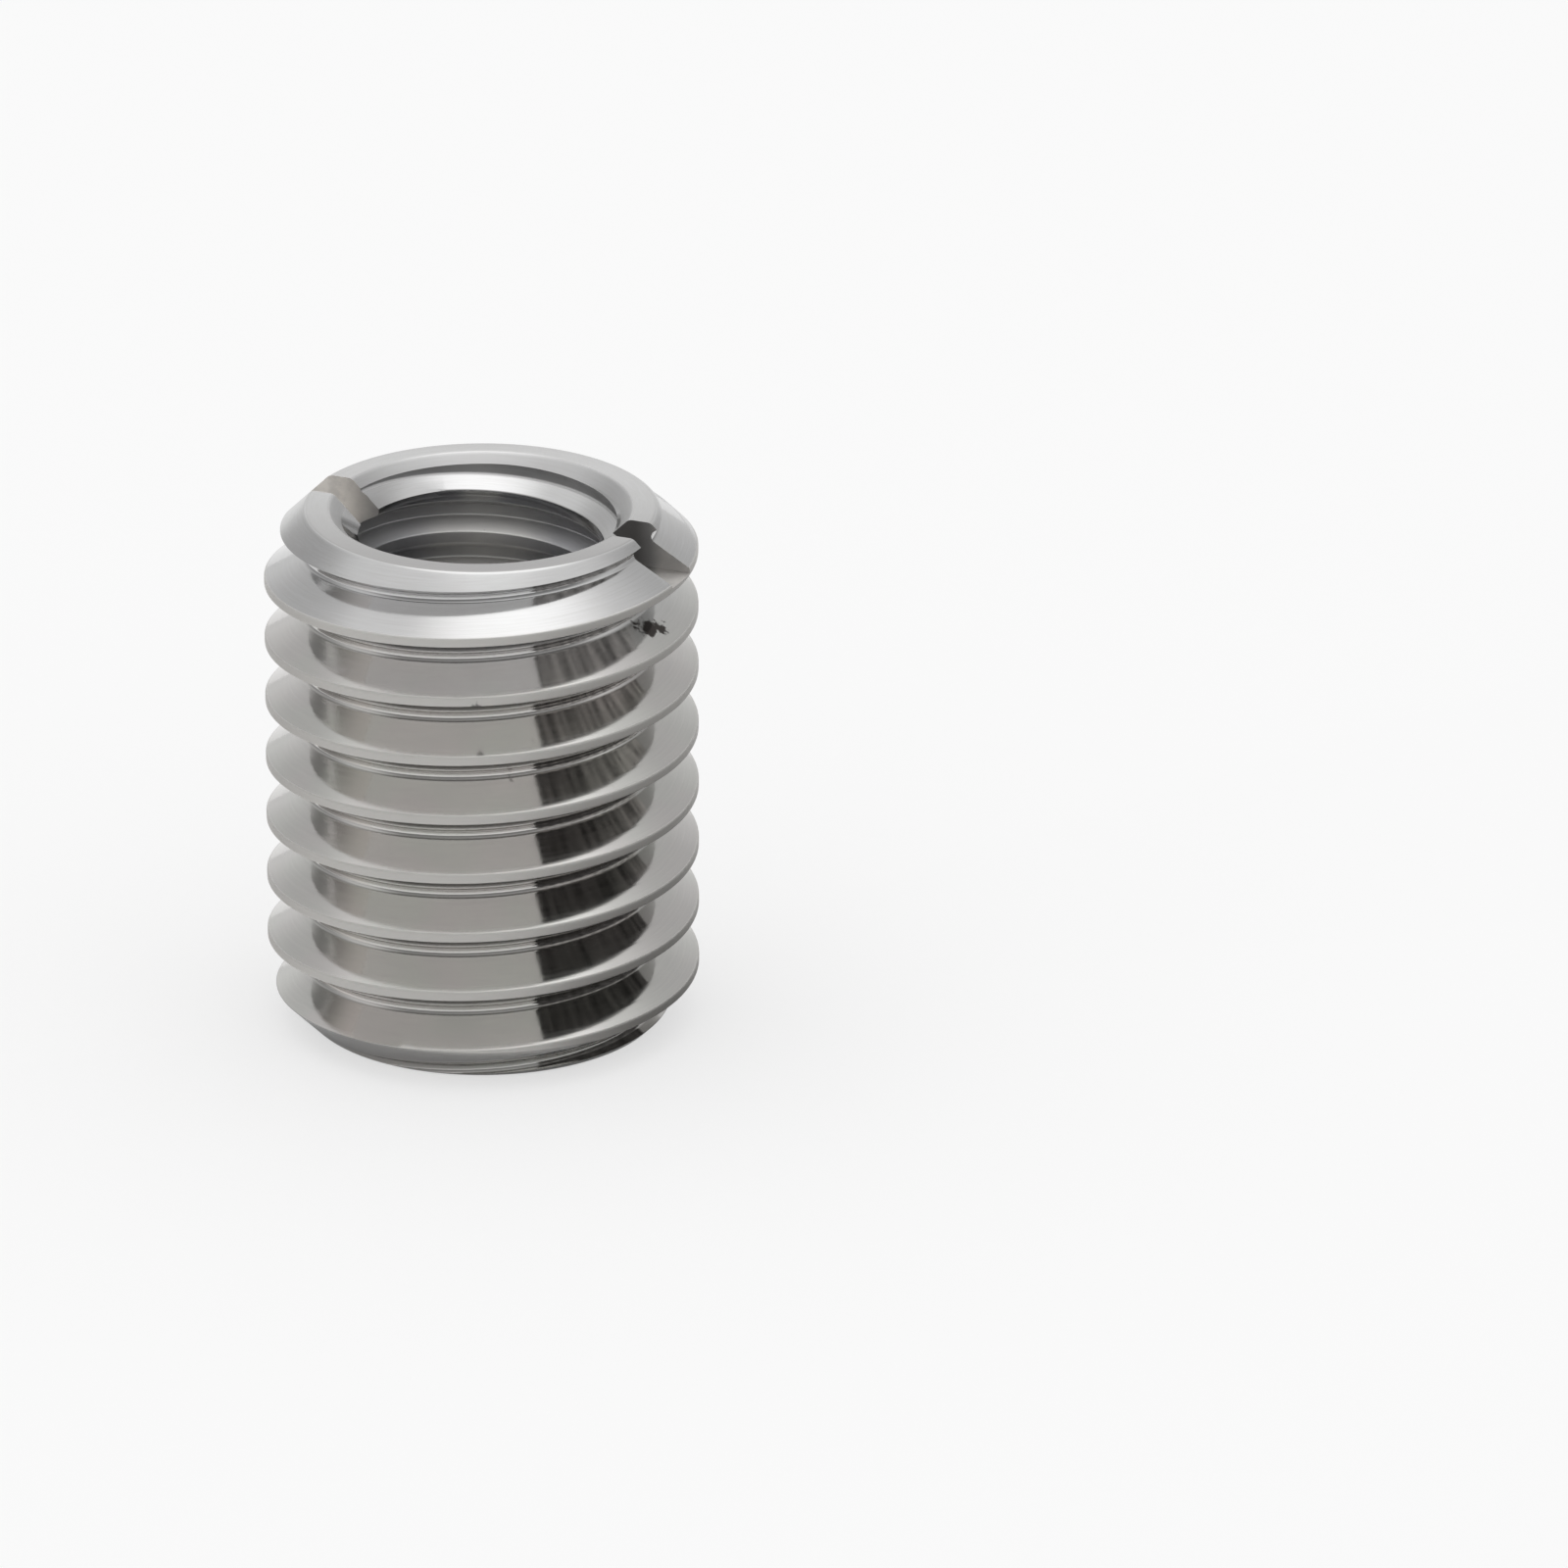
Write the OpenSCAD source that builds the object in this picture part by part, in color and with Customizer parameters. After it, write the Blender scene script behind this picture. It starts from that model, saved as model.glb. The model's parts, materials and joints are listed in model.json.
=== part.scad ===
// Threaded insert: a short tube with a coarse thread outside, a smaller thread
// through its bore and a driver slot across one end. It stands on its plain end,
// with the slot up. The origin is the centre of the plain end, and +Z is the axis.

/* [Body] */
// Length from the plain end to the slotted end
body_len = 15; // [12:0.5:24]

/* [Outer thread] */
// Major diameter of the outer thread
outer_d = 12; // [11.5:0.25:16]
// Pitch of the outer thread
outer_pitch = 1.75; // [1.25:0.05:2]
// Angle from +X at which a crest of the outer thread meets the plain end
outer_start = 40; // [0:5:355]

/* [Inner thread] */
// How much smaller the inner thread's major diameter is than the outer thread's
thread_step = 4; // [3.5:0.25:5]
// Pitch of the inner thread
inner_pitch = 1.25; // [1:0.05:1.5]
// Depth of the inner thread, from the bore that it is cut into
inner_depth = 0.6; // [0.4:0.05:0.75]
// Angle from +X at which a crest of the inner thread meets the plain end
inner_start = 20; // [0:5:355]

/* [Ends] */
// Width of the 45 degree chamfer at the slotted end
slot_chamfer = 1.15; // [0.6:0.05:1.5]
// Width of the 45 degree chamfer at the plain end
plain_chamfer = 1.15; // [0.6:0.05:1.5]
// How far the countersink at each end reaches outside the inner thread
mouth_relief = 0.2; // [0:0.05:0.4]

/* [Driver slot] */
// Width of the slot
slot_w = 1.25; // [0.8:0.05:2.5]
// Depth of the slot from the slotted end
slot_depth = 1.3; // [0.6:0.1:4]
// Direction of the slot, counter-clockwise from +X
slot_angle = 157; // [0:1:179]

/* [Hidden] */

// Angle of a thread's flank to the plane across the axis
flank_angle = 30;
// Width of the outer thread's crest flat and root flat, as shares of its pitch
crest_share = 1 / 8;
root_share = 1 / 8;
// How far a cutter reaches past the surface that it cuts
cut_margin = 0.1;
// Turns of a thread's cutter past each end: the half turn puts a crest, and not
// a groove, at the thread's start angle
spare_turns = 1.5;
// Flat sections in one turn of a thread's groove
turn_steps = 48;
// Smoothness of the turned surfaces
$fn = 96;

outer_r = outer_d / 2;
inner_r = (outer_d - thread_step) / 2;
bore_r = inner_r - inner_depth;
mouth_r = inner_r + mouth_relief;
outer_depth = outer_pitch * (1 - crest_share - root_share) / 2 / tan(flank_angle);
outer_root_r = outer_r - outer_depth;

// Points of a groove's section, turned and raised along its helix
function ring_at(section, pitch, angle) = [
    for (p = section) [p.x * cos(angle), p.x * sin(angle), p.y + pitch * angle / 360]
];

// Right-hand helical groove with the given section, from below the plain end to
// above the slotted end
module helical_groove(section, pitch, start) {
    steps = ceil((body_len / pitch + 2 * spare_turns) * turn_steps);
    corners = len(section);
    points = [
        for (i = [0:steps]) for (p = ring_at(section, pitch, i * 360 / turn_steps)) p
    ];
    sides = [
        for (i = [0:steps - 1]) for (j = [0:corners - 1])
            let (k = (j + 1) % corners)
            [i * corners + j, i * corners + k, (i + 1) * corners + k, (i + 1) * corners + j]
    ];
    first_cap = [for (j = [corners - 1:-1:0]) j];
    last_cap = [for (j = [0:corners - 1]) steps * corners + j];
    rotate([0, 0, start])
        translate([0, 0, -spare_turns * pitch])
            polyhedron(points = points, faces = concat([first_cap], sides, [last_cap]), convexity = 20);
}

// Groove of the outer thread: flat root, straight flanks, open outwards
module outer_groove() {
    root_half = outer_pitch * root_share / 2;
    mouth_half = root_half + (outer_depth + cut_margin) * tan(flank_angle);
    section = [
        [outer_root_r, -root_half],
        [outer_r + cut_margin, -mouth_half],
        [outer_r + cut_margin, mouth_half],
        [outer_root_r, root_half]
    ];
    helical_groove(section, outer_pitch, outer_start);
}

// Groove of the inner thread: a plain V, open towards the bore
module inner_groove() {
    open_r = bore_r - cut_margin;
    mouth_half = (inner_r - open_r) * tan(flank_angle);
    section = [
        [open_r, -mouth_half],
        [inner_r, 0],
        [open_r, mouth_half]
    ];
    helical_groove(section, inner_pitch, inner_start);
}

// Turned outline from the axis outwards, with a 45 degree chamfer at each end
module turned_blank() {
    rotate_extrude()
        polygon([
            [0, 0],
            [outer_r - plain_chamfer, 0],
            [outer_r, plain_chamfer],
            [outer_r, body_len - slot_chamfer],
            [outer_r - slot_chamfer, body_len],
            [0, body_len]
        ]);
}

// Bore with a 45 degree countersink at each end
module bore() {
    sink = mouth_r - bore_r;
    rotate_extrude()
        polygon([
            [0, -cut_margin],
            [mouth_r + cut_margin, -cut_margin],
            [bore_r, sink],
            [bore_r, body_len - sink],
            [mouth_r + cut_margin, body_len + cut_margin],
            [0, body_len + cut_margin]
        ]);
}

// Straight slot across the whole of the slotted end
module driver_slot() {
    reach = outer_r + cut_margin;
    rotate([0, 0, slot_angle])
        translate([-reach, -slot_w / 2, body_len - slot_depth])
            cube([2 * reach, slot_w, slot_depth + cut_margin]);
}

module threaded_insert() {
    color("silver")
        difference() {
            turned_blank();
            bore();
            outer_groove();
            inner_groove();
            driver_slot();
        }
}

threaded_insert();
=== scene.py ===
"""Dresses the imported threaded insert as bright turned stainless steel.

The file is laid out as an add-on and is run as a script. Sizes are in metres, in the frame of
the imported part: +Z is the axis of both threads, and the insert stands on z = 0, slotted end up.
"""

import json
import math
from types import SimpleNamespace

import bpy
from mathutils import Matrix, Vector


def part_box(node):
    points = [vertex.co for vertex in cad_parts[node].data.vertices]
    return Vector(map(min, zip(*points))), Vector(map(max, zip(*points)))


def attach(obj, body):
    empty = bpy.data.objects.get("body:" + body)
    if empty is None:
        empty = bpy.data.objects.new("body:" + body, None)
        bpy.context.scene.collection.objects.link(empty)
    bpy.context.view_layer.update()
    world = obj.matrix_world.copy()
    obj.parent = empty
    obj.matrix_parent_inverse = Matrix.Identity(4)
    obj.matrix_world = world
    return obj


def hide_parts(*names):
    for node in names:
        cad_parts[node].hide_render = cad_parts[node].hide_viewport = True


bl_info = {
    "name": "Threaded Insert",
    "version": (1, 0, 0),
    "blender": (4, 5, 0),
    "location": "3D View > Sidebar > Insert",
    "description": "Models a slotted threaded insert with its steel finish and a small photo stage",
    "category": "Add Mesh",
}

MM = 0.001
NODE = "threaded_insert"

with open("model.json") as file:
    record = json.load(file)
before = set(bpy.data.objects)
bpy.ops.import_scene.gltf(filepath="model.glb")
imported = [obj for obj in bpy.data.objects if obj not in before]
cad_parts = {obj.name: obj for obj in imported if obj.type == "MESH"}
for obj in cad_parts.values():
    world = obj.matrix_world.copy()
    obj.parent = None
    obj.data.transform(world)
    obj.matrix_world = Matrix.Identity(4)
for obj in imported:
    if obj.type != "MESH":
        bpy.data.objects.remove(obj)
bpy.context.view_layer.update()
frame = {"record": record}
BOX_LOW, BOX_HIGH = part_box(NODE)
MOUNTS = {mount["name"]: mount for mount in frame["record"]["mounts"]}

# Straight steps in one turn of a turned surface
TURN_STEPS = 160
# Two points nearer than this are one point, and a point nearer than ON_PLANE to a cut lies on it
WELD = 0.0005 * MM
ON_PLANE = WELD / 10
# How far the threaded rods reach past each end, and the blank past the threads
ROD_SPARE = 0.3 * MM
BLANK_SPARE = 0.5 * MM
# Straight steps in one rounded corner
ROUND_STEPS = 4
# Flats as shares of their pitch: the outer thread's crest and root, and the inner thread's root
OUTER_FLAT = 1 / 8
INNER_FLAT = 1 / 4
# Edges that turn by less than this are smooth
SMOOTH_ANGLE = math.radians(28)


def thread_radius(mount):
    """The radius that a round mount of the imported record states, in metres."""
    return MOUNTS[mount]["dims"]["r_mm"] * MM


class InsertSizes(bpy.types.PropertyGroup):
    """Sizes of the insert."""

    length: bpy.props.FloatProperty(
        name="Length", description="From the plain end to the slotted end",
        default=BOX_HIGH.z - BOX_LOW.z, min=0.002, unit="LENGTH")
    outer_radius: bpy.props.FloatProperty(
        name="Outer radius", description="Crest of the outer thread",
        default=thread_radius("outer_thread"), min=0.001, unit="LENGTH")
    outer_pitch: bpy.props.FloatProperty(
        name="Outer pitch", description="Pitch of the outer thread",
        default=1.75 * MM, min=0.0002, unit="LENGTH")
    outer_start: bpy.props.FloatProperty(
        name="Outer start", description="Where a crest of the outer thread meets the plain end",
        default=math.radians(40), unit="ROTATION")
    bore_radius: bpy.props.FloatProperty(
        name="Bore radius", description="Crest of the inner thread",
        default=thread_radius("inner_thread"), min=0.001, unit="LENGTH")
    inner_radius: bpy.props.FloatProperty(
        name="Inner radius", description="Root of the inner thread",
        default=3.93 * MM, min=0.001, unit="LENGTH")
    inner_pitch: bpy.props.FloatProperty(
        name="Inner pitch", description="Pitch of the inner thread",
        default=1.25 * MM, min=0.0002, unit="LENGTH")
    inner_start: bpy.props.FloatProperty(
        name="Inner start", description="Where a crest of the inner thread meets the plain end",
        default=math.radians(20), unit="ROTATION")
    flank_angle: bpy.props.FloatProperty(
        name="Flank angle", description="Angle of a flank to the plane across the axis",
        default=math.radians(30), unit="ROTATION")
    face_radius: bpy.props.FloatProperty(
        name="Face radius", description="Outer edge of the flat face at each end",
        default=4.85 * MM, min=0.001, unit="LENGTH")
    mouth_radius: bpy.props.FloatProperty(
        name="Mouth radius", description="Mouth of the countersink at each end",
        default=4.2 * MM, min=0.001, unit="LENGTH")
    crest_round: bpy.props.FloatProperty(
        name="Crest rounding", description="How far a crest is rounded from its corner",
        default=0.03 * MM, min=0, unit="LENGTH")
    root_round: bpy.props.FloatProperty(
        name="Root rounding", description="How far the outer root is rounded from its corner",
        default=0.105 * MM, min=0, unit="LENGTH")
    end_round: bpy.props.FloatProperty(
        name="End rounding", description="How far the end faces are rounded from their corners",
        default=0.1 * MM, min=0, unit="LENGTH")
    slot_width: bpy.props.FloatProperty(
        name="Slot width", description="Width of the driver slot",
        default=1.25 * MM, min=0.0002, unit="LENGTH")
    slot_depth: bpy.props.FloatProperty(
        name="Slot depth", description="Depth of the driver slot",
        default=1.3 * MM, min=0.0002, unit="LENGTH")
    slot_angle: bpy.props.FloatProperty(
        name="Slot direction", description="Direction of the driver slot",
        default=math.radians(157), unit="ROTATION")


def clear_selection():
    """Leave edit mode and deselect every object."""
    if bpy.context.object and bpy.context.object.mode != "OBJECT":
        bpy.ops.object.mode_set(mode="OBJECT")
    bpy.ops.object.select_all(action="DESELECT")


def make_active(piece):
    """Select one object and no other."""
    clear_selection()
    piece.select_set(True)
    bpy.context.view_layer.objects.active = piece


def apply_modifier(piece, kind, **settings):
    """Add a modifier, set it and apply it."""
    make_active(piece)
    modifier = piece.modifiers.new(kind.title(), kind)
    for name, value in settings.items():
        setattr(modifier, name, value)
    bpy.ops.object.modifier_apply(modifier=modifier.name)


def select_places(piece, places):
    """Go to edit mode with only the points at the given places selected."""
    make_active(piece)
    bpy.ops.object.mode_set(mode="EDIT")
    bpy.ops.mesh.select_mode(type="VERT")
    bpy.ops.mesh.select_all(action="DESELECT")
    bpy.ops.object.mode_set(mode="OBJECT")
    for vertex in piece.data.vertices:
        vertex.select = min((vertex.co - place).length for place in places) < WELD
    bpy.ops.object.mode_set(mode="EDIT")


def draw_profile(name, corners, rounding=(), closed=False):
    """Draw a profile in the XZ plane from (radius, height) corners.

    rounding gives pairs of a distance and the corners that are rounded from that far off."""
    places = [Vector((radius, 0, height)) for radius, height in corners]
    clear_selection()
    bpy.ops.mesh.primitive_plane_add(size=MM, location=places[0])
    profile = bpy.context.object
    profile.name = name
    bpy.ops.object.mode_set(mode="EDIT")
    bpy.ops.mesh.select_mode(type="VERT")
    bpy.ops.mesh.merge(type="CENTER")
    for here, there in zip(places, places[1:]):
        bpy.ops.mesh.extrude_region_move(TRANSFORM_OT_translate={"value": there - here})
    bpy.ops.object.mode_set(mode="OBJECT")
    bpy.ops.object.transform_apply(location=True, rotation=True, scale=True)
    if closed:
        select_places(profile, (places[0], places[-1]))
        bpy.ops.mesh.edge_face_add()
        bpy.ops.object.mode_set(mode="OBJECT")
    for distance, chosen in rounding:
        select_places(profile, [places[index] for index in chosen])
        bpy.ops.mesh.bevel(
            offset=distance, offset_type="OFFSET", segments=ROUND_STEPS, profile=0.5,
            affect="VERTICES")
        bpy.ops.object.mode_set(mode="OBJECT")
    return profile


def turn(profile, pitch=0, turns=1):
    """Turn a profile about Z, raised by the pitch in each turn."""
    apply_modifier(
        profile, "SCREW", axis="Z", angle=math.tau, screw_offset=pitch, iterations=turns,
        steps=TURN_STEPS, render_steps=TURN_STEPS, use_merge_vertices=True, merge_threshold=WELD)
    make_active(profile)
    bpy.ops.object.mode_set(mode="EDIT")
    bpy.ops.mesh.select_all(action="SELECT")
    bpy.ops.mesh.remove_doubles(threshold=WELD)
    bpy.ops.mesh.normals_make_consistent(inside=False)
    bpy.ops.object.mode_set(mode="OBJECT")
    return profile


def threaded_rod(name, sizes, thread, start, crest_round, root_round):
    """A solid rod with a right-hand thread, a little longer than the insert at both ends.

    thread gives the pitch, the crest and root radius and the width of the crest's flat. The
    profile runs from the middle of one root to the middle of the next, and at the start angle
    the middle of a crest stands at z = 0."""
    pitch, crest, root, crest_flat = thread
    root_flat = pitch - crest_flat - 2 * (crest - root) * math.tan(sizes.flank_angle)
    low = -pitch * (start / math.tau + 0.5)
    low -= math.ceil((low + pitch + ROD_SPARE) / pitch) * pitch
    turns = math.ceil((sizes.length + ROD_SPARE - low) / pitch) + 1
    corners = [
        (root, low),
        (root, low + root_flat / 2),
        (crest, low + (pitch - crest_flat) / 2),
        (crest, low + (pitch + crest_flat) / 2),
        (root, low + pitch - root_flat / 2),
        (root, low + pitch),
    ]
    crest_corners = (2, 3)
    root_corners = (1, 4)
    rounding = ((crest_round, crest_corners), (root_round, root_corners))
    rod = turn(draw_profile(name, corners, rounding), pitch, turns)
    bpy.ops.object.mode_set(mode="EDIT")
    for height, side in ((-ROD_SPARE, "clear_inner"), (sizes.length + ROD_SPARE, "clear_outer")):
        bpy.ops.mesh.select_all(action="SELECT")
        bpy.ops.mesh.bisect(
            plane_co=(0, 0, height), plane_no=(0, 0, 1), use_fill=True, threshold=ON_PLANE,
            **{side: True})
    bpy.ops.mesh.select_all(action="SELECT")
    bpy.ops.mesh.normals_make_consistent(inside=False)
    bpy.ops.object.mode_set(mode="OBJECT")
    return rod


def outer_rod(sizes):
    """The outer thread as a solid rod, with the basic profile's flats at crest and root."""
    flat = sizes.outer_pitch * OUTER_FLAT
    depth = (sizes.outer_pitch / 2 - flat) / math.tan(sizes.flank_angle)
    thread = (sizes.outer_pitch, sizes.outer_radius, sizes.outer_radius - depth, flat)
    return threaded_rod(
        "outer_rod", sizes, thread, sizes.outer_start, sizes.crest_round, sizes.root_round)


def tap_rod(sizes):
    """The space that the inner thread leaves: the rod's crest is the root of the groove."""
    flat = sizes.inner_pitch * INNER_FLAT
    thread = (sizes.inner_pitch, sizes.inner_radius, sizes.bore_radius, flat)
    half_turn_on = sizes.inner_start + math.pi
    return threaded_rod(
        "tap_rod", sizes, thread, half_turn_on, sizes.crest_round, sizes.crest_round)


def turned_tube(sizes):
    """The blank before threading: a tube with chamfered ends and a countersink at each mouth."""
    beyond = sizes.outer_radius + BLANK_SPARE
    within = sizes.bore_radius - BLANK_SPARE
    chamfer = beyond - sizes.face_radius
    sink = sizes.mouth_radius - within
    corners = [
        (within, sink),
        (sizes.mouth_radius, 0),
        (sizes.face_radius, 0),
        (beyond, chamfer),
        (beyond, sizes.length - chamfer),
        (sizes.face_radius, sizes.length),
        (sizes.mouth_radius, sizes.length),
        (within, sizes.length - sink),
    ]
    face_corners = (1, 2, 5, 6)
    return turn(draw_profile("blank", corners, ((sizes.end_round, face_corners),), closed=True))


def slot_block(sizes):
    """The space of the driver slot, open at the top and at both sides."""
    height = 2 * sizes.slot_depth
    clear_selection()
    bpy.ops.mesh.primitive_cube_add(
        size=1, location=(0, 0, sizes.length - sizes.slot_depth + height / 2),
        rotation=(0, 0, sizes.slot_angle),
        scale=(2 * (sizes.outer_radius + BLANK_SPARE), sizes.slot_width, height))
    block = bpy.context.object
    bpy.ops.object.transform_apply(location=True, rotation=True, scale=True)
    return block


def cut(piece, tool, operation):
    """Cut one solid with another and delete the tool."""
    apply_modifier(piece, "BOOLEAN", operation=operation, solver="MANIFOLD", object=tool)
    bpy.data.objects.remove(tool)


def finish_surface(piece):
    """Weld what the cuts left double, face the mesh outwards and smooth all but its sharp edges."""
    make_active(piece)
    bpy.ops.object.mode_set(mode="EDIT")
    bpy.ops.mesh.select_all(action="SELECT")
    bpy.ops.mesh.remove_doubles(threshold=WELD)
    bpy.ops.mesh.dissolve_degenerate(threshold=WELD)
    bpy.ops.mesh.normals_make_consistent(inside=False)
    bpy.ops.object.mode_set(mode="OBJECT")
    bpy.ops.object.shade_smooth_by_angle(angle=SMOOTH_ANGLE)
    apply_modifier(piece, "WEIGHTED_NORMAL", mode="FACE_AREA", weight=50, keep_sharp=True)
    if not piece.data.polygons:
        raise RuntimeError("the insert's body came out empty")


class InsertBody(bpy.types.Operator):
    """Model the threaded insert: thread a turned tube, tap its bore and cut the driver slot"""

    bl_idname = "threaded_insert.body"
    bl_label = "Threaded Insert"

    def execute(self, context):
        sizes = context.scene.insert_sizes
        body = outer_rod(sizes)
        cut(body, turned_tube(sizes), "INTERSECT")
        cut(body, tap_rod(sizes), "DIFFERENCE")
        cut(body, slot_block(sizes), "DIFFERENCE")
        body.name = "insert_body"
        body.data.name = "insert_body"
        finish_surface(body)
        body.data.materials.clear()
        body.data.materials.append(turned_steel(sizes, context.scene.insert_steel))
        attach(body, "root")
        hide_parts(NODE)
        return {"FINISHED"}


def steel_colour(name, description, *rgb):
    """A colour property of the steel."""
    return bpy.props.FloatVectorProperty(
        name=name, description=description, subtype="COLOR", size=4, default=(*rgb, 1),
        min=0, max=1)


def steel_factor(name, description, value):
    """A property of the steel from 0 to 1."""
    return bpy.props.FloatProperty(
        name=name, description=description, default=value, min=0, max=1, subtype="FACTOR")


class SteelFinish(bpy.types.PropertyGroup):
    """Colour and finish of the steel, and the colours of its painted shade and highlight."""

    colour: steel_colour("Steel", "Colour of the steel at the slotted end", 0.578, 0.578, 0.58)
    body: steel_colour("Body steel", "Colour below the first turn", 0.585, 0.575, 0.553)
    shade: steel_colour("Dull steel", "Colour where the steel is duller", 0.49, 0.485, 0.475)
    warm: steel_colour("Warm tint", "Faint pink cast in patches", 0.6, 0.568, 0.564)
    cool: steel_colour("Cool tint", "Faint green cast in patches", 0.57, 0.58, 0.548)
    # The soft steel is painted shade on the foot chamfer, the front of the end faces and the slot
    # near the bore, and also the colour of random dull patches in the slot
    soft: steel_colour("Soft steel", "Colour of the foot and the near face", 0.37, 0.365, 0.36)
    # Painted shade at the sides of the bore, deep down
    deep: steel_colour("Bore steel", "Colour at the sides of the bore", 0.47, 0.47, 0.485)
    # Colour of the worn crests, and a painted highlight in the middle of the bore, deep down
    rubbed: steel_colour("Rubbed steel", "Colour of the crests and mid bore", 0.72, 0.71, 0.69)
    milled: steel_colour("Milled steel", "Colour of the slot's lighter end", 0.97, 0.94, 0.9)
    # Also the painted shadow at the bore's right mouth in the slot and the painted dark reflection
    # of the first two marks
    stain_and_shade: steel_colour("Stain", "Colour of pits and specks", 0.06, 0.054, 0.05)
    roughness: steel_factor("Roughness", "Roughness of the outer thread's flanks", 0.09)
    end_roughness: steel_factor("End roughness", "Roughness of the faces and chamfers", 0.24)
    bore_roughness: steel_factor("Bore roughness", "Roughness deep in the bore", 0.42)
    worn_roughness: steel_factor("Worn roughness", "Roughness of the rubbed crests", 0.78)
    slot_roughness: steel_factor("Slot roughness", "Roughness of the slot's sides", 0.68)
    grain: steel_factor("Grain", "How much further light spreads across the turning lines", 0.5)
    line_depth: bpy.props.FloatProperty(
        name="Line depth", description="Depth of the turning lines",
        default=0.0005 * MM, min=0, unit="LENGTH")


def add_node(tree, kind, inputs=(), **settings):
    """Add a shader node, set it, and join or set its inputs by name or number."""
    made = tree.nodes.new(kind)
    for name, value in settings.items():
        setattr(made, name, value)
    for name, value in dict(inputs).items():
        if isinstance(value, bpy.types.NodeSocket):
            tree.links.new(value, made.inputs[name])
        else:
            made.inputs[name].default_value = value
    return made


def calc(tree, operation, *values):
    """The result of a Math node."""
    return add_node(tree, "ShaderNodeMath", enumerate(values), operation=operation).outputs[0]


def vector_calc(tree, operation, *values):
    """The outputs of a Vector Math node."""
    return add_node(tree, "ShaderNodeVectorMath", enumerate(values), operation=operation).outputs


def split(tree, vector):
    """The X, Y and Z of a vector."""
    return add_node(tree, "ShaderNodeSeparateXYZ", {0: vector}).outputs


def join(tree, *values):
    """A vector of up to three values."""
    return add_node(tree, "ShaderNodeCombineXYZ", enumerate(values)).outputs[0]


def ramp(tree, value, low, high, start=0.0, end=1.0):
    """A value mapped smoothly from one range to another."""
    return add_node(
        tree, "ShaderNodeMapRange",
        {"Value": value, "From Min": low, "From Max": high, "To Min": start, "To Max": end},
        interpolation_type="SMOOTHSTEP").outputs["Result"]


def mix_values(tree, factor, first, second):
    """Two values mixed by a factor."""
    return add_node(
        tree, "ShaderNodeMix", {0: factor, 2: first, 3: second}, data_type="FLOAT").outputs[0]


def mix_colours(tree, factor, first, second):
    """Two colours mixed by a factor."""
    return add_node(
        tree, "ShaderNodeMix", {0: factor, 6: first, 7: second}, data_type="RGBA").outputs[2]


def new_material(name):
    """A new material, its nodes and its Principled shader."""
    material = bpy.data.materials.new(name)
    material.use_nodes = True
    return material, material.node_tree, material.node_tree.nodes["Principled BSDF"]


# Each change in the steel is given as where it starts and ends and the values there, which are
# 0 and 1 where they aren't given. Places on the insert are in millimetres.

# How far the masks of the end faces and of the slot reach past their surfaces
END_REACH = 0.02
SLOT_REACH = 0.01
# By depth below the slotted end: the body's colour, and the strength of the tint
BODY_COLOUR = (1.9, 3.1)
TINT_STRENGTH = (1.6, 3.1, 0.15, 0.6)
# By distance from the nearer end: where the bore's painted shade and highlight start, and its
# roughness
BORE_LIGHT_AND_SHADE = (1.2, 2.2)
BORE_ROUGH = (0.8, 1.8)
# By distance aside from the axis: painted shade at the bore's sides, with a painted highlight
# between them
BORE_SIDES = (0.9, 2.3)
# By radius, from the root of the inner thread: where the bore is rough all along
ROOT_ROUGH = (-0.1, -0.04)
# By radius, from the crest of the outer thread: its wear, and how far broad lines move that
CREST_WEAR = (-0.04, 0.03)
WEAR_WAVES = 0.06
# By Z: painted shade on the foot chamfer, darker towards the floor. By Y: painted shade on the end
# faces, darker towards the front
FOOT_SHADE = (1.6, 0.8)
FACE_SHADE = (2.5, -4.5, 0.0, 0.9)
# By X, in the slot: painted shade on the milled steel, darkest towards the bore, and a painted
# shadow at the bore's right mouth
SLOT_SHADE_LEFT = (-4.2, -2.6, 0.0, 0.95)
SLOT_SHADE_RIGHT = (4.6, 5.0, 1.0, 0.5)
SLOT_SHADOW_LEFT = (1.5, 3.0)
SLOT_SHADOW_RIGHT = (4.2, 4.75, 0.55, 0.0)

# Lines of noise along the thread: how many to a millimetre across it, how many to a radian along
# it, and detail
FINE_LINES = (22.0, 3.0, 3.0)
BROAD_LINES = (5.0, 1.5, 2.0)
TINT_LINES = (1.6, 0.8, 2.0)
# Clouds of noise: how many to a millimetre, detail, and which layer of the noise
WEAR_CLOUDS = (0.45, 3.0, 0.0)
TINT_CLOUDS = (0.3, 2.0, 3.0)
SLOT_CLOUDS = (1.6, 4.0, 5.0)
SPECK_CLOUDS = (4.0, 4.0, 7.0)
NOISE_ROUGHNESS = 0.6

# By noise: dull steel, from a blend of lines and clouds, the turn from warm to cool tint, dull
# patches and stain in the slot, specks, and the waves of the roughness
DULL_LINES, DULL_CLOUDS = 0.6, 0.4
DULL_SHARE = (0.35, 0.65, 0.0, 0.45)
TINT_TURN = (0.42, 0.58)
SLOT_PATCHES = (0.4, 0.62, 0.0, 0.25)
SLOT_STAIN = (0.35, 0.6, 0.0, 0.1)
SPECK_STAIN = (0.7, 0.78, 0.0, 0.8)
ROUGHNESS_WAVES = (0.3, 0.7, -0.02, 0.04)
# How many times the broad turning lines are as deep as the fine ones
BROAD_DEPTH = 2.0
# Light spreads across the turning lines: a quarter turn from the direction along them
ACROSS_LINES = 0.25

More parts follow.
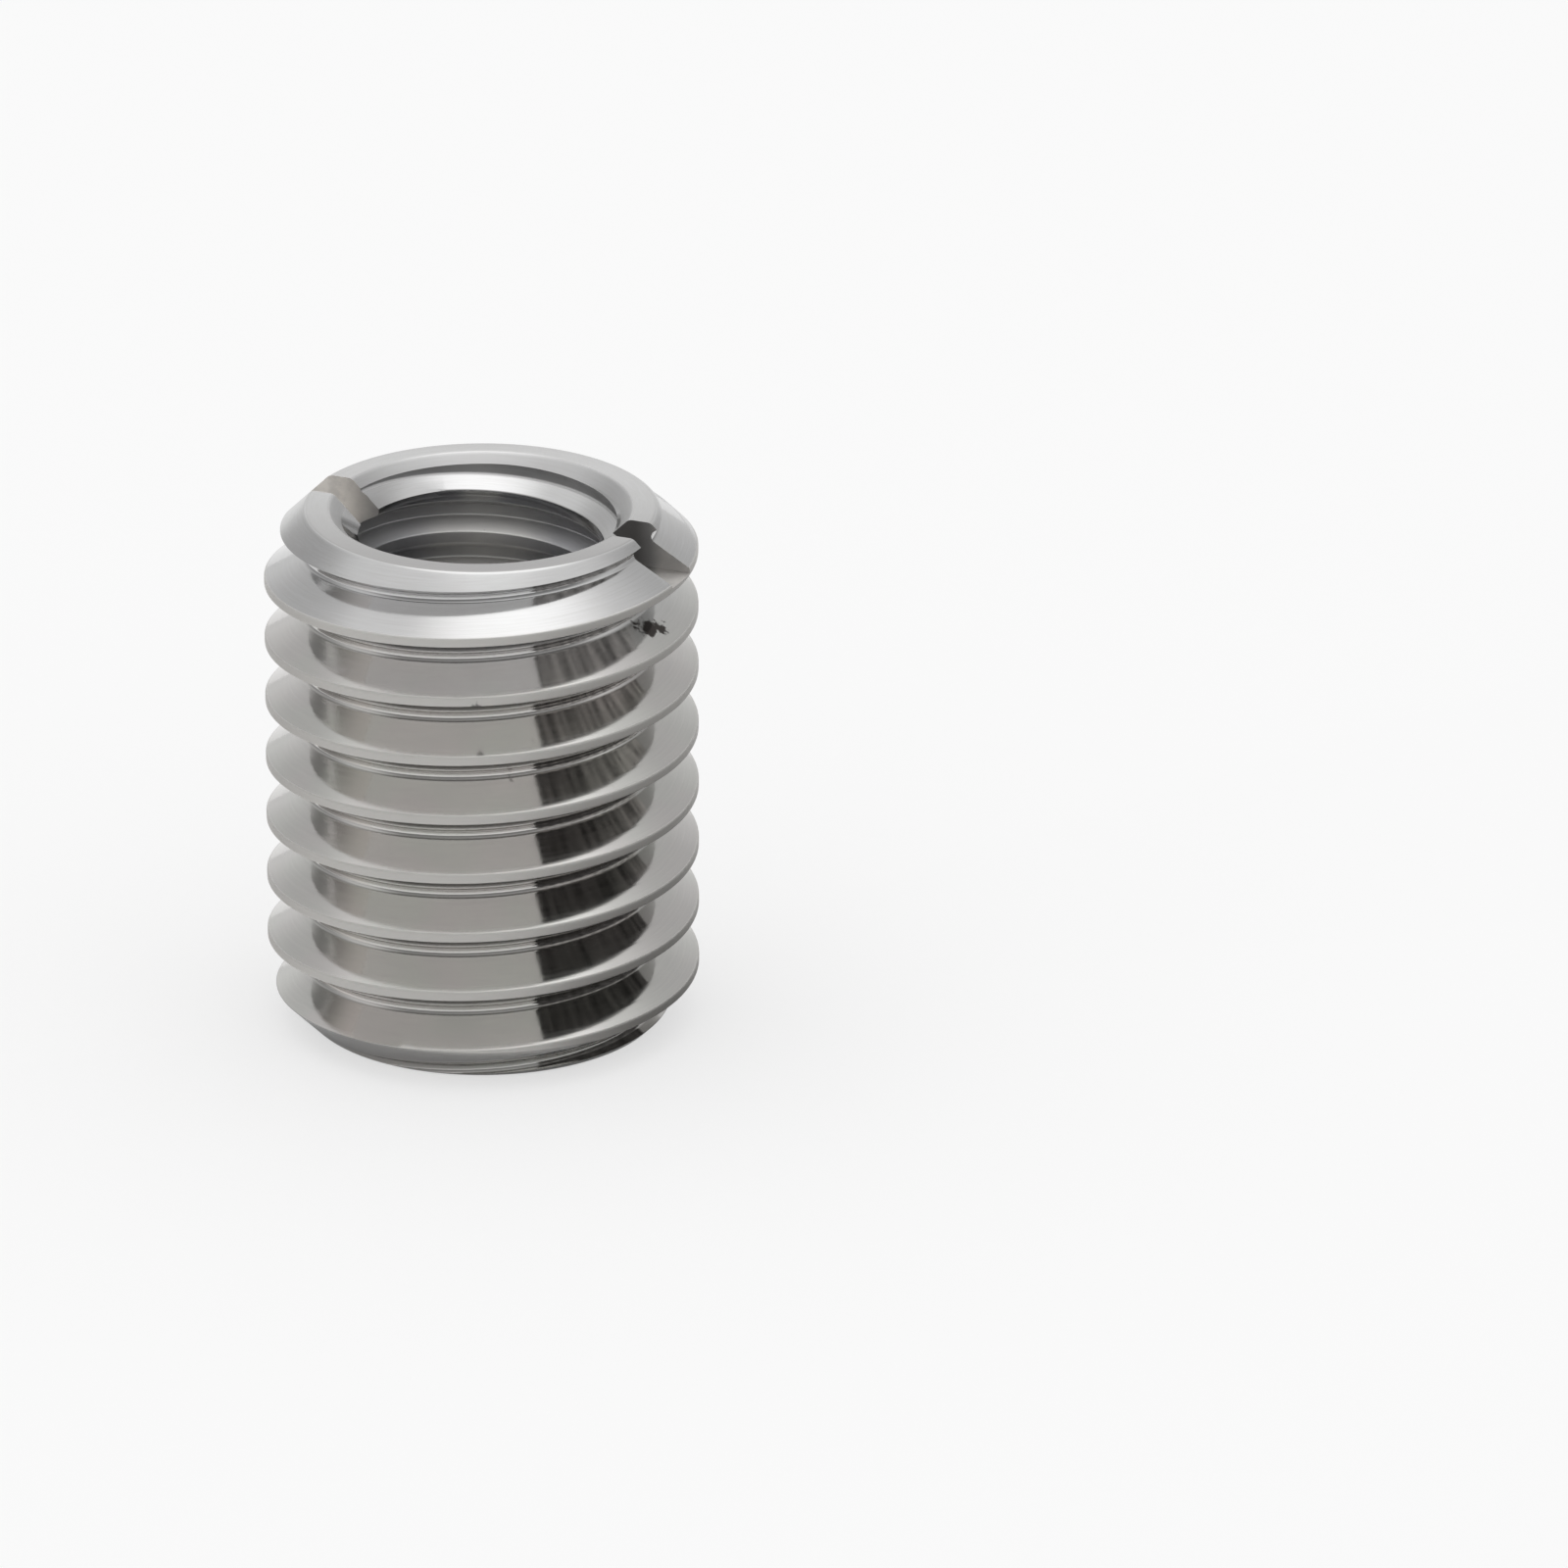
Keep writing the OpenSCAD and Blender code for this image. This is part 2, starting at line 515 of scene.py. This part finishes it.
# Dark marks on the surface: place and size in millimetres, and strength. The first two are a
# painted dark reflection on the thread's right side; the other two are small dark spots
MARKS = (
    ((4.5, -2.62, 12.34), 0.42, 1.0),
    ((4.88, -2.38, 12.3), 0.3, 1.0),
    ((-0.15, -5.97, 11.44), 0.17, 0.7),
    ((0.86, -4.95, 9.08), 0.17, 0.7),
)
# A mark's edge is ragged by this share of its size, by this range of the speck noise, and it is
# fully dark within this share of its size
MARK_RAGGED = 0.5
MARK_NOISE = (0.3, 0.7)
MARK_CORE = 0.55


def thread_phase(tree, height, turn_share, pitch, start):
    """Place across the thread from root to root, from 0 to 1, with the crest at a half."""
    lead = calc(tree, "SUBTRACT", calc(tree, "DIVIDE", height, pitch / MM), turn_share)
    return calc(tree, "FRACT", calc(tree, "ADD", lead, start / math.tau + 0.5))


def surface_places(tree, sizes):
    """Where a point of the surface lies, in millimetres, and which zones it belongs to."""
    at = SimpleNamespace()
    coordinates = add_node(tree, "ShaderNodeTexCoord").outputs["Object"]
    at.point = add_node(
        tree, "ShaderNodeVectorMath", {0: coordinates, "Scale": 1 / MM},
        operation="SCALE").outputs[0]
    parts = split(tree, at.point)
    at.x, at.y, at.z = parts["X"], parts["Y"], parts["Z"]
    at.flat = join(tree, at.x, at.y)
    at.radius = vector_calc(tree, "LENGTH", at.flat)["Value"]
    at.outward = split(tree, vector_calc(tree, "NORMALIZE", at.flat)[0])

    turn_share = calc(tree, "DIVIDE", calc(tree, "ARCTAN2", at.y, at.x), math.tau)
    outer = calc(
        tree, "MULTIPLY", sizes.outer_pitch / MM,
        thread_phase(tree, at.z, turn_share, sizes.outer_pitch, sizes.outer_start))
    inner = calc(
        tree, "MULTIPLY", sizes.inner_pitch / MM,
        thread_phase(tree, at.z, turn_share, sizes.inner_pitch, sizes.inner_start))
    is_outer = calc(tree, "GREATER_THAN", at.radius, sizes.mouth_radius / MM)
    at.inside = calc(tree, "SUBTRACT", 1.0, is_outer)
    at.across = calc(
        tree, "ADD", calc(tree, "MULTIPLY", outer, is_outer),
        calc(tree, "MULTIPLY", inner, at.inside))

    at.above = calc(tree, "SUBTRACT", sizes.length / MM, at.z)
    at.from_ends = calc(tree, "MINIMUM", at.z, at.above)
    on_chamfer = calc(
        tree, "LESS_THAN", calc(tree, "ADD", at.from_ends, sizes.face_radius / MM),
        calc(tree, "ADD", at.radius, END_REACH))
    at.on_face = calc(tree, "LESS_THAN", at.from_ends, END_REACH)
    at.on_end = calc(tree, "MAXIMUM", on_chamfer, at.on_face)

    across_slot = Vector((-math.sin(sizes.slot_angle), math.cos(sizes.slot_angle), 0))
    from_slot = vector_calc(tree, "DOT_PRODUCT", at.point, across_slot)["Value"]
    at.in_slot = calc(
        tree, "MULTIPLY",
        calc(tree, "LESS_THAN", calc(tree, "ABSOLUTE", from_slot),
             sizes.slot_width / MM / 2 + SLOT_REACH),
        calc(tree, "LESS_THAN", at.above, sizes.slot_depth / MM + SLOT_REACH))
    return at


def lines(tree, at, per_mm, per_radian, detail):
    """Noise drawn out into lines that run along the thread."""
    spot = join(
        tree, calc(tree, "MULTIPLY", at.across, per_mm), calc(tree, "MULTIPLY", at.radius, per_mm),
        calc(tree, "MULTIPLY", at.outward["X"], per_radian))
    return add_node(
        tree, "ShaderNodeTexNoise",
        {"Vector": spot, "W": calc(tree, "MULTIPLY", at.outward["Y"], per_radian), "Scale": 1.0,
         "Detail": detail, "Roughness": NOISE_ROUGHNESS}, noise_dimensions="4D").outputs["Fac"]


def clouds(tree, at, per_mm, detail, layer):
    """Soft noise over the whole surface."""
    return add_node(
        tree, "ShaderNodeTexNoise",
        {"Vector": at.point, "W": layer, "Scale": per_mm, "Detail": detail,
         "Roughness": NOISE_ROUGHNESS}, noise_dimensions="4D").outputs["Fac"]


def slot_colour(tree, at, finish):
    """Colour of the milled slot: painted shade around the bore and at the right end, a painted
    shadow at the bore's right mouth, and random dull patches.
    """
    # Painted shade: the slot is darker around the bore and half as dark at its right end
    dull = calc(
        tree, "MULTIPLY", ramp(tree, at.x, *SLOT_SHADE_LEFT), ramp(tree, at.x, *SLOT_SHADE_RIGHT))
    # Painted shadow near the bore's right mouth
    painted_shadow = calc(tree, "MULTIPLY", ramp(tree, at.x, *SLOT_SHADOW_LEFT), ramp(tree, at.x, *SLOT_SHADOW_RIGHT))
    patches = ramp(tree, clouds(tree, at, *SLOT_CLOUDS), *SLOT_PATCHES)
    colour = mix_colours(tree, dull, finish.milled[:], finish.soft[:])
    colour = mix_colours(tree, patches, colour, finish.soft[:])
    return mix_colours(tree, painted_shadow, colour, finish.stain_and_shade[:])


def stain_and_shade_share(tree, at, cloud):
    """Share of the dark colour: fine specks, a little in the slot, and the marks; the first two
    marks are a painted dark reflection.
    """
    speck = clouds(tree, at, *SPECK_CLOUDS)
    in_slot = calc(tree, "MULTIPLY", at.in_slot, ramp(tree, cloud, *SLOT_STAIN))
    stain_and_shade = calc(tree, "MAXIMUM", ramp(tree, speck, *SPECK_STAIN), in_slot)
    # The first two marks paint a dark reflection; the other two are small dark spots
    for spot, size, strength in MARKS:
        ragged = MARK_RAGGED * size
        away = calc(
            tree, "ADD", vector_calc(tree, "DISTANCE", at.point, spot)["Value"],
            ramp(tree, speck, *MARK_NOISE, -ragged, ragged))
        stain_and_shade = calc(
            tree, "MAXIMUM", stain_and_shade, ramp(tree, away, size, MARK_CORE * size, 0.0, strength))
    return stain_and_shade


def turned_steel(sizes, finish):
    """Stainless steel with fine turning lines that follow each thread round the axis, and with
    painted shade, highlight and dark reflection mixed into its colour.
    """
    material, tree, shader = new_material("turned_steel")
    at = surface_places(tree, sizes)
    fine = lines(tree, at, *FINE_LINES)
    broad = lines(tree, at, *BROAD_LINES)
    cloud = clouds(tree, at, *WEAR_CLOUDS)
    crest = sizes.outer_radius / MM
    worn = ramp(
        tree, calc(tree, "ADD", at.radius, calc(tree, "MULTIPLY", broad, WEAR_WAVES)),
        *(crest + reach for reach in CREST_WEAR))

    colour = mix_colours(
        tree, ramp(tree, at.above, *BODY_COLOUR), finish.colour[:], finish.body[:])
    dull = calc(
        tree, "ADD", calc(tree, "MULTIPLY", fine, DULL_LINES),
        calc(tree, "MULTIPLY", cloud, DULL_CLOUDS))
    colour = mix_colours(tree, ramp(tree, dull, *DULL_SHARE), colour, finish.shade[:])
    tint = mix_colours(
        tree, ramp(tree, clouds(tree, at, *TINT_CLOUDS), *TINT_TURN),
        finish.warm[:], finish.cool[:])
    tint_share = calc(
        tree, "MULTIPLY", lines(tree, at, *TINT_LINES), ramp(tree, at.above, *TINT_STRENGTH))
    colour = mix_colours(tree, tint_share, colour, tint)
    colour = mix_colours(tree, worn, colour, finish.rubbed[:])
    # Deep in the bore: a painted highlight in the middle and painted shade at the sides
    bore_light_and_shade = mix_colours(
        tree, ramp(tree, calc(tree, "ABSOLUTE", at.x), *BORE_SIDES),
        finish.rubbed[:], finish.deep[:])
    in_bore = calc(tree, "MULTIPLY", at.inside, ramp(tree, at.from_ends, *BORE_LIGHT_AND_SHADE))
    colour = mix_colours(tree, in_bore, colour, bore_light_and_shade)
    # Painted shade: the foot chamfer and the front of the end faces are mixed towards the soft
    # steel
    for zone, place, change in ((at.on_end, at.z, FOOT_SHADE), (at.on_face, at.y, FACE_SHADE)):
        dim = calc(tree, "MULTIPLY", zone, ramp(tree, place, *change))
        colour = mix_colours(tree, dim, colour, finish.soft[:])
    colour = mix_colours(tree, at.in_slot, colour, slot_colour(tree, at, finish))
    # Dark specks and marks, with a painted dark reflection in the first two marks
    colour = mix_colours(tree, stain_and_shade_share(tree, at, cloud), colour, finish.stain_and_shade[:])
    tree.links.new(colour, shader.inputs["Base Color"])

    root = sizes.inner_radius / MM
    rough_bore = calc(
        tree, "MULTIPLY", at.inside,
        calc(tree, "MAXIMUM", ramp(tree, at.from_ends, *BORE_ROUGH),
             ramp(tree, at.radius, *(root + reach for reach in ROOT_ROUGH))))
    roughness = calc(tree, "ADD", finish.roughness, ramp(tree, broad, *ROUGHNESS_WAVES))
    for zone, value in (
        (at.on_end, finish.end_roughness),
        (rough_bore, finish.bore_roughness),
        (worn, finish.worn_roughness),
        (at.in_slot, finish.slot_roughness),
    ):
        roughness = mix_values(tree, zone, roughness, value)
    tree.links.new(roughness, shader.inputs["Roughness"])

    shader.inputs["Metallic"].default_value = 1.0
    shader.inputs["Anisotropic"].default_value = finish.grain
    shader.inputs["Anisotropic Rotation"].default_value = ACROSS_LINES
    around = vector_calc(tree, "CROSS_PRODUCT", join(tree, 0.0, 0.0, 1.0), at.flat)[0]
    tree.links.new(vector_calc(tree, "NORMALIZE", around)[0], shader.inputs["Tangent"])
    relief = calc(tree, "ADD", fine, calc(tree, "MULTIPLY", broad, BROAD_DEPTH))
    bump = add_node(
        tree, "ShaderNodeBump",
        {"Strength": 1.0, "Distance": finish.line_depth, "Height": relief})
    tree.links.new(bump.outputs["Normal"], shader.inputs["Normal"])
    return material


class StageSettings(bpy.types.PropertyGroup):
    """Camera and floor of the studio."""

    elevation: bpy.props.FloatProperty(
        name="Camera elevation", description="Height of the camera above the horizon",
        default=math.radians(22.3), unit="ROTATION")
    distance: bpy.props.FloatProperty(
        name="Camera distance", description="From the camera to the insert's centre",
        default=0.55, min=0.05, unit="LENGTH")
    pixels_per_mm: bpy.props.FloatProperty(
        name="Picture scale", description="Pixels of the 1600 pixel picture to a millimetre",
        default=36.8, min=1)
    centre_x: bpy.props.FloatProperty(
        name="Centre across", description="Pixel column of the insert's centre",
        default=492.4)
    centre_y: bpy.props.FloatProperty(
        name="Centre down", description="Pixel row of the insert's centre",
        default=771.8)
    floor_colour: bpy.props.FloatVectorProperty(
        name="Floor", description="Colour of the floor", subtype="COLOR", size=4,
        default=(0.9, 0.9, 0.9, 1), min=0, max=1)
    floor_glow: bpy.props.FloatProperty(
        name="Floor glow", description="How much the floor is lit from below, as a light table is",
        default=0.62, min=0, max=1, subtype="FACTOR")


PICTURE_PIXELS = 1600
# Width of the camera's film, in millimetres
FILM_WIDTH = 36
FLOOR_RADIUS = 1.5
FLOOR_CORNERS = 96
WHITE = (1, 1, 1, 1)
# Light that the floor and the room show to the camera, that matt surfaces get from the room,
# and that the floor shows to reflections
SHOWN_LIGHT = 0.955
MATT_LIGHT = 1.07
FLOOR_LIGHT = 0.92

# Outlines of the dark cards from the inner edge outwards, as radius and height in millimetres
CURVED_CARD = ((7, 0.02), (13, 0.02), (16, 2), (18, 14))
FLAT_CARD = ((6.8, 0.02), (46, 0.02))
WIDE_CARD = ((6.8, 0.02), (150, 0.02))
CARD_STEPS = 24
# The right and the end card turn about this corner, in metres
RIGHT_CORNER = (-1.27 * MM, -0.85 * MM)
# Name, outline, corner, start angle and span of each card, its light low down and high up, and
# how much of its span fades out into the floor. A card that doesn't fade is streaked
CARDS = (
    ("right_card", CURVED_CARD, RIGHT_CORNER, math.radians(-56), math.radians(68), 0.05, 0.28, 0.0),
    ("end_card", FLAT_CARD, RIGHT_CORNER, math.radians(12), math.radians(26), 0.12, 0.12, 0.0),
    ("left_card", WIDE_CARD, (0, 0), math.radians(143), math.radians(54), 0.33, 0.33, 0.75),
)
# Height over which a card's light changes from low down to high up
CARD_RISE = (5 * MM, 11 * MM)
# Streaks of a card: how many to a radian and to a metre upwards, and their noise
STREAKS_AROUND = 17.0
STREAKS_UP = 450.0
STREAK_DETAIL = 5.0
STREAK_ROUGHNESS = 0.72
STREAK_LIGHT = (0.38, 0.64, 0.35, 2.3)
CARD_COLOUR = (1, 0.97, 0.95, 1)

# Light of the room by the height of a direction, from 0 at the horizon to 1 overhead: its rise
# to the ceiling, and its dim foot
ROOM_RISE = (0.3, 0.95, 0.74, 0.98)
ROOM_FOOT = (0.0, 0.32, 0.78, 1.0)
# The dim side in front, by Y and by height, and how much light it takes
FRONT_BY_Y = (-0.1, -0.6)
FRONT_BY_HEIGHT = (0.8, 0.4)
FRONT_DIM = 0.6
# Round panels with soft edges: direction of the centre, angles from it where the edge starts
# and ends, in degrees, and the light that they add, or take away where it is below 0
PANELS = (
    ((0, 0.93, 0.38), 8, 50, 0.22),
    ((-0.7, 0.62, 0.34), 8, 34, -0.28),
    ((0.7, 0.6, 0.4), 8, 40, -0.28),
    ((0.044, 0.215, 0.97), 9, 27, 0.74),
    ((0.05, -0.4, 0.92), 6, 25, 0.16),
)


def add_camera(stage, sizes):
    """A long lens at the picture's angle, aimed so that the insert stands where it does there."""
    centre = Vector((0, 0, sizes.length / 2))
    back = Vector((0, -math.cos(stage.elevation), math.sin(stage.elevation)))
    right = Vector((1, 0, 0))
    up = back.cross(right)
    half = PICTURE_PIXELS / 2
    aim = (centre + right * ((half - stage.centre_x) / stage.pixels_per_mm * MM)
           - up * ((half - stage.centre_y) / stage.pixels_per_mm * MM))
    place = centre + back * stage.distance
    clear_selection()
    bpy.ops.object.camera_add(location=place)
    camera = bpy.context.object
    camera.rotation_mode = "QUATERNION"
    camera.rotation_quaternion = (aim - place).to_track_quat("-Z", "Y")
    picture_width = PICTURE_PIXELS / stage.pixels_per_mm * MM
    camera.data.sensor_width = FILM_WIDTH
    camera.data.lens = FILM_WIDTH * stage.distance / picture_width
    camera.data.clip_start = 0.01
    camera.data.clip_end = 5
    bpy.context.scene.camera = camera


def add_floor(stage):
    """A wide pale floor, which glows a little to the camera."""
    clear_selection()
    bpy.ops.mesh.primitive_circle_add(
        vertices=FLOOR_CORNERS, radius=FLOOR_RADIUS, fill_type="NGON")
    floor = bpy.context.object
    floor.name = "floor"
    material, tree, shader = new_material("pale_floor")
    shader.inputs["Base Color"].default_value = stage.floor_colour
    shader.inputs["Roughness"].default_value = 0.9
    shader.inputs["Specular IOR Level"].default_value = 0.1
    to_camera = add_node(tree, "ShaderNodeLightPath").outputs["Is Camera Ray"]
    seen = calc(tree, "MULTIPLY", to_camera, stage.floor_glow)
    glow = add_node(tree, "ShaderNodeEmission", {"Color": WHITE, "Strength": SHOWN_LIGHT})
    both = add_node(
        tree, "ShaderNodeMixShader", {0: seen, 1: shader.outputs[0], 2: glow.outputs[0]})
    tree.links.new(both.outputs[0], tree.nodes["Material Output"].inputs["Surface"])
    floor.data.materials.append(material)


def light_world():
    """Soft studio light: a pale room, dim in front, with bright and dim round panels."""
    world = bpy.data.worlds.new("studio")
    bpy.context.scene.world = world
    world.use_nodes = True
    tree = world.node_tree
    tree.nodes.clear()
    direction = add_node(tree, "ShaderNodeTexCoord").outputs["Generated"]
    parts = split(tree, direction)

    room = ramp(tree, parts["Z"], *ROOM_RISE)
    front = calc(
        tree, "MULTIPLY", ramp(tree, parts["Y"], *FRONT_BY_Y),
        ramp(tree, parts["Z"], *FRONT_BY_HEIGHT))
    lit = calc(tree, "SUBTRACT", 1.0, calc(tree, "MULTIPLY", front, FRONT_DIM))
    room = calc(tree, "MULTIPLY", room, lit)
    room = calc(tree, "MULTIPLY", room, ramp(tree, parts["Z"], *ROOM_FOOT))
    for centre, inner, outer, light in PANELS:
        cosine = vector_calc(
            tree, "DOT_PRODUCT", direction, Vector(centre).normalized())["Value"]
        near = math.cos(math.radians(inner))
        far = math.cos(math.radians(outer))
        room = calc(tree, "ADD", room, ramp(tree, cosine, far, near, 0.0, light))
    paths = add_node(tree, "ShaderNodeLightPath").outputs
    for path, light in (("Is Diffuse Ray", MATT_LIGHT), ("Is Camera Ray", SHOWN_LIGHT)):
        room = mix_values(tree, paths[path], room, light)
    background = add_node(tree, "ShaderNodeBackground", {"Color": WHITE, "Strength": room})
    output = add_node(tree, "ShaderNodeOutputWorld")
    tree.links.new(background.outputs[0], output.inputs["Surface"])


def card_light(tree, corner, start, span, low, high, fade):
    """Light of a dark card: streaked, or faded out into the floor."""
    coordinates = add_node(tree, "ShaderNodeTexCoord").outputs["Object"]
    from_corner = vector_calc(tree, "SUBTRACT", coordinates, (*corner, 0))[0]
    turned_back = add_node(
        tree, "ShaderNodeVectorRotate", {"Vector": from_corner, "Angle": -start},
        rotation_type="Z_AXIS").outputs[0]
    parts = split(tree, turned_back)
    around = calc(tree, "ARCTAN2", parts["Y"], parts["X"])
    light = ramp(tree, parts["Z"], *CARD_RISE, low, high)
    if fade:
        return mix_values(
            tree, ramp(tree, around, span * (1 - fade), span), light, FLOOR_LIGHT)
    spot = join(
        tree, calc(tree, "MULTIPLY", around, STREAKS_AROUND),
        calc(tree, "MULTIPLY", parts["Z"], STREAKS_UP))
    streaks = add_node(
        tree, "ShaderNodeTexNoise",
        {"Vector": spot, "Scale": 1.0, "Detail": STREAK_DETAIL,
         "Roughness": STREAK_ROUGHNESS}).outputs["Fac"]
    return calc(tree, "MULTIPLY", light, ramp(tree, streaks, *STREAK_LIGHT))


def add_card(name, outline, corner, start, span, low, high, fade):
    """A dark card beside the insert, which only reflections show."""
    card = draw_profile(name, [(radius * MM, height * MM) for radius, height in outline])
    apply_modifier(card, "SCREW", axis="Z", angle=span, steps=CARD_STEPS, render_steps=CARD_STEPS)
    make_active(card)
    card.rotation_euler.z = start
    card.location = (*corner, 0)
    bpy.ops.object.transform_apply(location=True, rotation=True, scale=True)
    material, tree, shader = new_material(name)
    tree.nodes.remove(shader)
    light = card_light(tree, corner, start, span, low, high, fade)
    glow = add_node(tree, "ShaderNodeEmission", {"Color": CARD_COLOUR, "Strength": light})
    tree.links.new(glow.outputs[0], tree.nodes["Material Output"].inputs["Surface"])
    card.data.materials.append(material)
    card.visible_camera = False
    card.visible_diffuse = False
    card.visible_shadow = False
    card.visible_transmission = False


class InsertStage(bpy.types.Operator):
    """Add the floor, the dark cards, the soft light and the camera at the picture's angle"""

    bl_idname = "threaded_insert.stage"
    bl_label = "Studio Stage"

    def execute(self, context):
        stage = context.scene.insert_stage
        add_camera(stage, context.scene.insert_sizes)
        add_floor(stage)
        for card in CARDS:
            add_card(*card)
        light_world()
        context.scene.view_settings.view_transform = "Standard"
        return {"FINISHED"}


class InsertPanel(bpy.types.Panel):
    """Sidebar panel with the insert's sizes, finish and stage."""

    bl_idname = "VIEW3D_PT_threaded_insert"
    bl_label = "Threaded Insert"
    bl_space_type = "VIEW_3D"
    bl_region_type = "UI"
    bl_category = "Insert"

    def draw(self, context):
        for owner, operator in (
            (context.scene.insert_sizes, InsertBody),
            (context.scene.insert_steel, None),
            (context.scene.insert_stage, InsertStage),
        ):
            box = self.layout.box()
            for name in owner.__annotations__:
                box.prop(owner, name)
            if operator:
                box.operator(operator.bl_idname)


CLASSES = (InsertSizes, SteelFinish, StageSettings, InsertBody, InsertStage, InsertPanel)


def register():
    """Register the classes and hang the settings on the scene."""
    for entry in CLASSES:
        bpy.utils.register_class(entry)
    bpy.types.Scene.insert_sizes = bpy.props.PointerProperty(type=InsertSizes)
    bpy.types.Scene.insert_steel = bpy.props.PointerProperty(type=SteelFinish)
    bpy.types.Scene.insert_stage = bpy.props.PointerProperty(type=StageSettings)


def unregister():
    """Undo register."""
    for name in ("insert_stage", "insert_steel", "insert_sizes"):
        delattr(bpy.types.Scene, name)
    for entry in reversed(CLASSES):
        bpy.utils.unregister_class(entry)


def main():
    """Model the insert and its stage."""
    register()
    bpy.ops.threaded_insert.body()
    bpy.ops.threaded_insert.stage()


if __name__ == "__main__":
    main()
